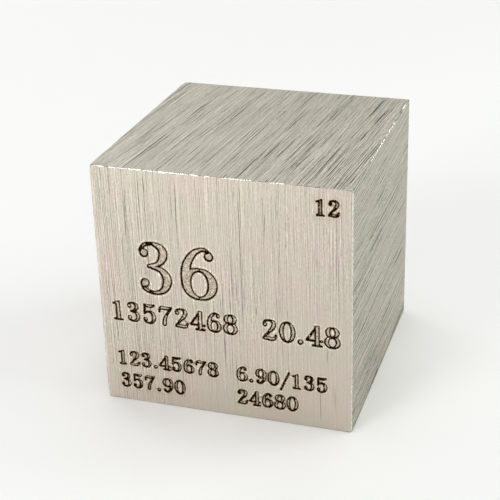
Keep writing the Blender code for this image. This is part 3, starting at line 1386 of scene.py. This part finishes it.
def engraved_finish(graph, place, metal, roughness, relief):
    """The laser's marks over the brushed metal: soot, flecks, a frosted floor, heat stain and a
    painted highlight on the lips.
    """
    gap = graph.mark("gap")
    heat = graph.mark("heated")
    hot = graph.rise(heat, *HOT)
    grain = graph.noise(graph.scaled(place, GRAIN), 1.0)
    speck = graph.noise(graph.scaled(place, SPECK), 0.0)
    cloud = graph.noise(graph.scaled(place, CLOUD), 2.0)

    stain = heat_stain(graph, gap, heat, cloud, speck)
    metal = graph.mix(stain, metal, graph.tinted(metal, HEAT_STAIN[:3]))
    # Painted highlight: the metal on the lip beside each groove is made brighter by colour.
    lip = graph.rise(gap, *LIP_HIGHLIGHT_INNER) * graph.rise(gap, *LIP_HIGHLIGHT_OUTER)
    lip = lip * graph.limit(LIP_HIGHLIGHT_LEVEL + speck * LIP_HIGHLIGHT_SPECK, *LIP_HIGHLIGHT_LIMITS)
    metal = graph.scaled(metal, 1.0 + lip)

    burnt = graph.rise(gap + grain * BURN_RAGGED, *BURN_EDGE)
    burnt = burnt * (1.0 - graph.rise(speck, *THIN_SPECK) * hot * THINNING)
    soot = graph.mix(graph.rise(grain + hot * HOT_SOOT, *SOOT_GRAIN), BURNT, SOOT)
    metal = graph.mix(burnt, metal, soot)

    floor = graph.mix(graph.rise(heat + cloud * BROWN_CLOUD, *BROWN_HEAT), FROSTED, BROWNED)
    light = graph.limit(FLOOR_LIGHT + grain * FLOOR_GRAIN + speck * FLOOR_SPECK, *FLOOR_LIMITS)
    floor = graph.scaled(floor, light)
    in_floor = graph.rise(gap + grain * FLOOR_RAGGED, *FLOOR_EDGE)
    metal = graph.mix(in_floor, metal, floor)

    inside = graph.rise(gap, *FLECK_GAPS) * FLECK_LEAN
    flecks = graph.rise(speck + inside, *FLECK_SPECK) * burnt
    metal = graph.mix(flecks * graph.limit(heat * FLECK_HEAT), metal, FLECK)
    roughness = graph.limit(roughness + burnt * BURNT_ROUGHNESS - flecks * FLECK_GLOSS)
    return metal, roughness, relief + grain * burnt * BURNT_RELIEF


# The broken edges: patches and grain to a millimetre, brightness, what each noise changes in it,
# its limits, and the height of the grain in millimetres.
EDGE_PATCHES = 2.2
EDGE_GRAIN = 9.0
EDGE_LIGHT = 0.85
EDGE_CHANGE = 0.25
EDGE_LIMITS = (0.2, 1.1)
EDGE_HEIGHT = 0.004
# Their roughness and how much patches change it, and, where an edge was not rubbed, how much
# painted shade takes from the brightness and what is added to the roughness. Such a stretch is
# wholly shaded and rough before its mark is whole.
EDGE_ROUGHNESS = 0.22
ROUGH_PATCHES = 0.08
DULL_RISE = 1.5
DULL_PAINTED_SHADE = 0.76
DULL_ROUGHNESS = 0.3
# The spatter: grain to a millimetre, grain at which soot turns to bare metal, and roughness.
SPATTER_GRAIN = 11.0
SPATTER_BARE = (-0.2, 0.6)
SPATTER_ROUGHNESS = 0.38


def worn_edge():
    """The finish of the broken edges: bare metal, rougher and darkened by painted shade where it
    was not rubbed.
    """
    material, graph = new_material("bismuth_edges")
    place = graph.place_in_mm()
    patches = graph.noise(graph.scaled(place, EDGE_PATCHES), 2.0)
    grain = graph.noise(graph.scaled(place, EDGE_GRAIN), 1.0)
    light = graph.limit(EDGE_LIGHT + patches * EDGE_CHANGE + grain * EDGE_CHANGE, *EDGE_LIMITS)
    dull_and_shaded = graph.limit(graph.mark("scratch") * DULL_RISE)
    # Painted shade: where the edge was not rubbed, its metal is darkened by colour.
    metal = graph.scaled(EDGE_METAL[:3], light * (1.0 - dull_and_shaded * DULL_PAINTED_SHADE))
    roughness = EDGE_ROUGHNESS + patches * ROUGH_PATCHES + dull_and_shaded * DULL_ROUGHNESS
    normal = graph.bump(grain, EDGE_HEIGHT * MM)
    looks = {"Base Color": metal, "Metallic": 1.0, "Roughness": roughness, "Normal": normal}
    graph.surface(looks)
    return material


def spattered_metal():
    """The finish of the laser's spatter: bright beads among sooty ones."""
    material, graph = new_material("bismuth_spatter")
    grain = graph.noise(graph.scaled(graph.place_in_mm(), SPATTER_GRAIN), 0.0)
    metal = graph.mix(graph.rise(grain, *SPATTER_BARE), SOOT, EDGE_METAL)
    graph.surface({"Base Color": metal, "Metallic": 1.0, "Roughness": SPATTER_ROUGHNESS})
    return material


# ---- Spatter ----


class SpatterSettings(PropertyGroup):
    """The beads of metal that the laser threw beside its grooves."""

    density: FloatProperty(
        name="Density",
        description="Beads to a square metre of the strip beside the grooves",
        default=3.5e7,
    )
    smallest: length_setting("Smallest", "Smallest bead radius", 0.014 * MM)
    largest: length_setting("Largest", "Largest bead radius", 0.04 * MM)
    thickness: length_setting("Thickness", "How far a bead stands out of the surface", 0.004 * MM)
    strip: FloatVectorProperty(
        name="Strip",
        description="Where the beads lie, as distances in millimetres outside the outline",
        default=(-0.1, -0.02),
        size=2,
    )
    seed: count_setting("Seed", "Seed of the spatter", 3)


# What the spatter's node tree is given: name, kind of socket and setting.
SPATTER_INPUTS = (
    ("Density", "NodeSocketFloat", "density"),
    ("Smallest", "NodeSocketFloat", "smallest"),
    ("Largest", "NodeSocketFloat", "largest"),
    ("Thickness", "NodeSocketFloat", "thickness"),
    ("Seed", "NodeSocketInt", "seed"),
)
# Seeds of the beads' lengths and turns, and the shortest length beside the width.
LENGTH_SEED = 5
TURN_SEED = 6
SHORTEST_BEAD = 0.5


def random_value(graph, low, high, seed, inputs=None):
    """A random value for each point."""
    inputs = {2: low, 3: high, "Seed": seed, **(inputs or {})}
    return graph.add("FunctionNodeRandomValue", {"data_type": "FLOAT"}, inputs).outputs[1]


def spatter_tree(strip):
    """The node tree that strews flat beads along the outlines of the figures."""
    tree = bpy.data.node_groups.new("Laser Spatter", "GeometryNodeTree")
    graph = Graph(tree)
    tree.interface.new_socket("Geometry", in_out="INPUT", socket_type="NodeSocketGeometry")
    for name, kind, _ in SPATTER_INPUTS:
        tree.interface.new_socket(name, in_out="INPUT", socket_type=kind)
    tree.interface.new_socket("Material", in_out="INPUT", socket_type="NodeSocketMaterial")
    tree.interface.new_socket("Geometry", in_out="OUTPUT", socket_type="NodeSocketGeometry")
    given = graph.add("NodeGroupInput").outputs

    gap_node = graph.add("GeometryNodeInputNamedAttribute", {"data_type": "FLOAT"}, {"Name": "gap"})
    gap = Number(graph, gap_node.outputs["Attribute"])
    in_strip = graph.maths("GREATER_THAN", gap, strip[0]) * graph.maths("LESS_THAN", gap, strip[1])
    spread = graph.add(
        "GeometryNodeDistributePointsOnFaces",
        {"distribute_method": "RANDOM"},
        {
            "Mesh": given["Geometry"],
            "Density": in_strip * Number(graph, given["Density"]),
            "Seed": given["Seed"],
        },
    )
    by_index = {"ID": graph.add("GeometryNodeInputIndex").outputs[0]}
    size = random_value(graph, given["Smallest"], given["Largest"], given["Seed"], by_index)
    length = random_value(graph, SHORTEST_BEAD, 1.0, LENGTH_SEED)
    turn = random_value(graph, 0.0, math.tau, TURN_SEED)
    bead = graph.add("GeometryNodeMeshIcoSphere", None, {"Radius": 1.0, "Subdivisions": 1})
    short = Number(graph, size) * Number(graph, length)
    placed = graph.add(
        "GeometryNodeInstanceOnPoints",
        None,
        {
            "Points": spread.outputs["Points"],
            "Instance": bead.outputs["Mesh"],
            "Rotation": graph.vector(0.0, turn, 0.0),
            "Scale": graph.vector(size, given["Thickness"], short),
        },
    )
    real = graph.add("GeometryNodeRealizeInstances", None, {0: placed.outputs[0]})
    coated = graph.add(
        "GeometryNodeSetMaterial",
        None,
        {"Geometry": real.outputs[0], "Material": given["Material"]},
    )
    graph.add("NodeGroupOutput", None, {"Geometry": coated.outputs[0]})
    return tree


def make_spatter(block, settings):
    """The spatter as a plain mesh of its own."""
    tree = spatter_tree(settings.strip)
    source = add_object("spatter_source", block.data.copy())
    modifier = source.modifiers.new("spatter", "NODES")
    modifier.node_group = tree
    values = {name: getattr(settings, field) for name, _, field in SPATTER_INPUTS}
    values["Material"] = spattered_metal()
    for item in tree.interface.items_tree:
        if item.in_out == "INPUT" and item.name in values:
            modifier[item.identifier] = values[item.name]
    graph = bpy.context.evaluated_depsgraph_get()
    mesh = bpy.data.meshes.new_from_object(source.evaluated_get(graph), depsgraph=graph)
    source.modifiers.clear()
    bpy.data.objects.remove(source)
    mesh.name = "laser_spatter"
    return add_object("laser_spatter", mesh)


# ---- Stage ----


class StageSettings(PropertyGroup):
    """The floor, the surroundings and the camera."""

    floor_reach: length_setting("Floor Reach", "Half the floor's side", 1.5)
    floor_tone: FloatVectorProperty(
        name="Floor Tone",
        description="Tone of the floor",
        default=(0.90, 0.90, 0.885),
        subtype="COLOR",
    )
    sky_tone: FloatVectorProperty(
        name="Sky Tone",
        description="Tone of the surroundings",
        default=(1.0, 1.0, 1.0),
        subtype="COLOR",
    )
    sky_strength: FloatProperty(
        name="Sky Strength", description="Brightness of the surroundings", default=0.41
    )
    lens: FloatProperty(name="Lens", description="Focal length in millimetres", default=88.77)
    lens_shift: FloatVectorProperty(
        name="Lens Shift",
        description="How far the lens is shifted, in widths of the picture",
        default=(-0.0607, -0.0683),
        size=2,
    )
    camera_place: FloatVectorProperty(
        name="Camera Place",
        description="The camera's place in sides of the cube from its middle",
        default=(1.4058, -4.3253, 2.1806),
    )
    camera_way: FloatVectorProperty(
        name="Camera Way",
        description="The way the camera looks",
        default=(-0.2672, 0.8714, -0.4114),
    )
    camera_roll: FloatProperty(
        name="Camera Roll",
        description="How far the camera is turned about its view",
        default=math.radians(-1.14),
        subtype="ANGLE",
    )


# The camera's sensor in millimetres and the distances between which it sees, in metres.
SENSOR_WIDTH = 36.0
CLIP_RANGE = (0.01, 20.0)
# The floor's gloss, and the patches in which its tone drifts, to a millimetre, and how far.
FLOOR_ROUGHNESS = 0.6
FLOOR_GLOSS = 0.2
DRIFT_PATCHES = 0.01
DRIFT = 0.004
WHITE = (1.0, 1.0, 1.0)
GREENISH = (0.955, 1.0, 0.98)
# Distance of the lights from the middle, in sides of the cube.
LIGHT_DISTANCE = 16
# Lights round the cube: name, degrees from the front towards the right, degrees above the floor,
# width and height in sides of the cube, power in watts and colour. The small ones glint on the
# edges.
LIGHTS = (
    ("front_left_light", 330, 12, 8, 8, 0.78, WHITE),
    ("front_right_light", 30, 32, 8, 8, 0.215, WHITE),
    ("right_light", 90, 12, 8, 8, 0.53, GREENISH),
    ("back_right_light", 120, 32, 8, 8, 0.355, GREENISH),
    ("back_light", 180, 32, 8, 8, 0.05, WHITE),
    ("back_left_high_light", 210, 32, 8, 8, 0.10, WHITE),
    ("back_left_light", 240, 12, 8, 8, 0.435, WHITE),
    ("back_high_light", 180, 55, 8, 8, 0.06, WHITE),
    ("overhead_light", 0, 90, 8, 8, 0.315, WHITE),
    ("front_glint", 339, 32.6, 4.5, 1.2, 0.09, WHITE),
    ("back_glint", 165.6, 22.3, 1.1, 1.1, 0.026, WHITE),
)


def floor_material(tone):
    """A matt finish whose tone drifts very slightly."""
    material, graph = new_material("pale_floor")
    drift = graph.noise(graph.scaled(graph.place_in_mm(), DRIFT_PATCHES), 1.0)
    tone = graph.scaled(tuple(tone), 1.0 + drift * DRIFT)
    looks = {"Base Color": tone, "Roughness": FLOOR_ROUGHNESS, "Specular IOR Level": FLOOR_GLOSS}
    graph.surface(looks)
    return material


def make_floor(settings):
    """The wide floor on which the block stands."""
    reach = settings.floor_reach
    turns = ((-1, -1), (1, -1), (1, 1), (-1, 1))
    corners = [(x * reach, y * reach, BLOCK_LOW.z) for x, y in turns]
    mesh = bpy.data.meshes.new("floor")
    mesh.from_pydata(corners, [], [(0, 1, 2, 3)])
    mesh.materials.append(floor_material(settings.floor_tone))
    return add_object("floor", mesh)


def add_lights():
    """Round lights that all face the block."""
    side = 2 * HALF * MM
    for name, around, above, width, height, power, tone in LIGHTS:
        lamp = bpy.data.lights.new(name, "AREA")
        lamp.shape = "ELLIPSE"
        lamp.size = width * side
        lamp.size_y = height * side
        lamp.energy = power
        lamp.color = tone
        light = add_object(name, lamp)
        turn = Euler((math.radians(-above), 0, math.radians(around)))
        way = turn.to_matrix() @ Vector((0, -1, 0))
        light.location = CENTRE + way * LIGHT_DISTANCE * side
        light.rotation_euler = (-way).to_track_quat("-Z", "Y").to_euler()


def add_sky(settings):
    world = bpy.data.worlds.new("studio")
    world.use_nodes = True
    graph = Graph(world.node_tree)
    inputs = {"Color": (*settings.sky_tone, 1), "Strength": settings.sky_strength}
    sky = graph.add("ShaderNodeBackground", None, inputs)
    graph.add("ShaderNodeOutputWorld", None, {"Surface": sky.outputs[0]})
    bpy.context.scene.world = world


def add_camera(settings):
    """The camera, turned about its view and with its lens shifted."""
    side = 2 * HALF * MM
    lens = bpy.data.cameras.new("camera")
    lens.lens = settings.lens
    lens.sensor_width = SENSOR_WIDTH
    lens.shift_x, lens.shift_y = settings.lens_shift
    lens.clip_start, lens.clip_end = CLIP_RANGE
    lens.dof.use_dof = False
    camera = add_object("camera", lens)
    camera.location = CENTRE + Vector(settings.camera_place) * side
    aim = Vector(settings.camera_way).to_track_quat("-Z", "Y")
    roll = Euler((0, 0, settings.camera_roll)).to_quaternion()
    camera.rotation_euler = (aim @ roll).to_euler()
    bpy.context.scene.camera = camera


# ---- Operators ----


class BISMUTH_OT_add_block(Operator):
    """Adds the brushed block with its engraving and its worn edges"""

    bl_idname = "bismuth.add_block"
    bl_label = "Add Block"

    def execute(self, context):
        block = make_block(context.scene.bismuth_block, context.scene.bismuth_engraving)
        for side in SIDES:
            block.data.materials.append(brushed_metal(side))
        block.data.materials.append(worn_edge())
        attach(block, "root")
        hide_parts(BLOCK_NODE)
        return {"FINISHED"}


class BISMUTH_OT_add_spatter(Operator):
    """Adds the beads of metal beside the engraved grooves"""

    bl_idname = "bismuth.add_spatter"
    bl_label = "Add Spatter"

    def execute(self, context):
        block = context.scene.objects["bismuth_block"]
        spatter = make_spatter(block, context.scene.bismuth_spatter)
        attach(spatter, "root")
        return {"FINISHED"}


class BISMUTH_OT_add_stage(Operator):
    """Adds the floor, the lights, the surroundings and the camera"""

    bl_idname = "bismuth.add_stage"
    bl_label = "Add Stage"

    def execute(self, context):
        settings = context.scene.bismuth_stage
        make_floor(settings)
        add_lights()
        add_sky(settings)
        add_camera(settings)
        context.scene.view_settings.view_transform = "Standard"
        return {"FINISHED"}


class BISMUTH_PT_parts(Panel):
    """Lists what the add-on makes"""

    bl_label = "Bismuth Cube"
    bl_idname = "BISMUTH_PT_parts"
    bl_space_type = "VIEW_3D"
    bl_region_type = "UI"
    bl_category = "Bismuth Cube"

    def draw(self, context):
        for operator in OPERATORS:
            self.layout.operator(operator.bl_idname)


OPERATORS = (BISMUTH_OT_add_block, BISMUTH_OT_add_spatter, BISMUTH_OT_add_stage)
SETTINGS = (
    ("bismuth_block", BlockSettings),
    ("bismuth_engraving", EngravingSettings),
    ("bismuth_spatter", SpatterSettings),
    ("bismuth_stage", StageSettings),
)


def register():
    for name, settings in SETTINGS:
        bpy.utils.register_class(settings)
        setattr(bpy.types.Scene, name, PointerProperty(type=settings))
    for operator in OPERATORS:
        bpy.utils.register_class(operator)
    bpy.utils.register_class(BISMUTH_PT_parts)


def unregister():
    bpy.utils.unregister_class(BISMUTH_PT_parts)
    for operator in reversed(OPERATORS):
        bpy.utils.unregister_class(operator)
    for name, settings in reversed(SETTINGS):
        delattr(bpy.types.Scene, name)
        bpy.utils.unregister_class(settings)


def main():
    register()
    bpy.ops.bismuth.add_block()
    bpy.ops.bismuth.add_spatter()
    bpy.ops.bismuth.add_stage()


if __name__ == "__main__":
    main()
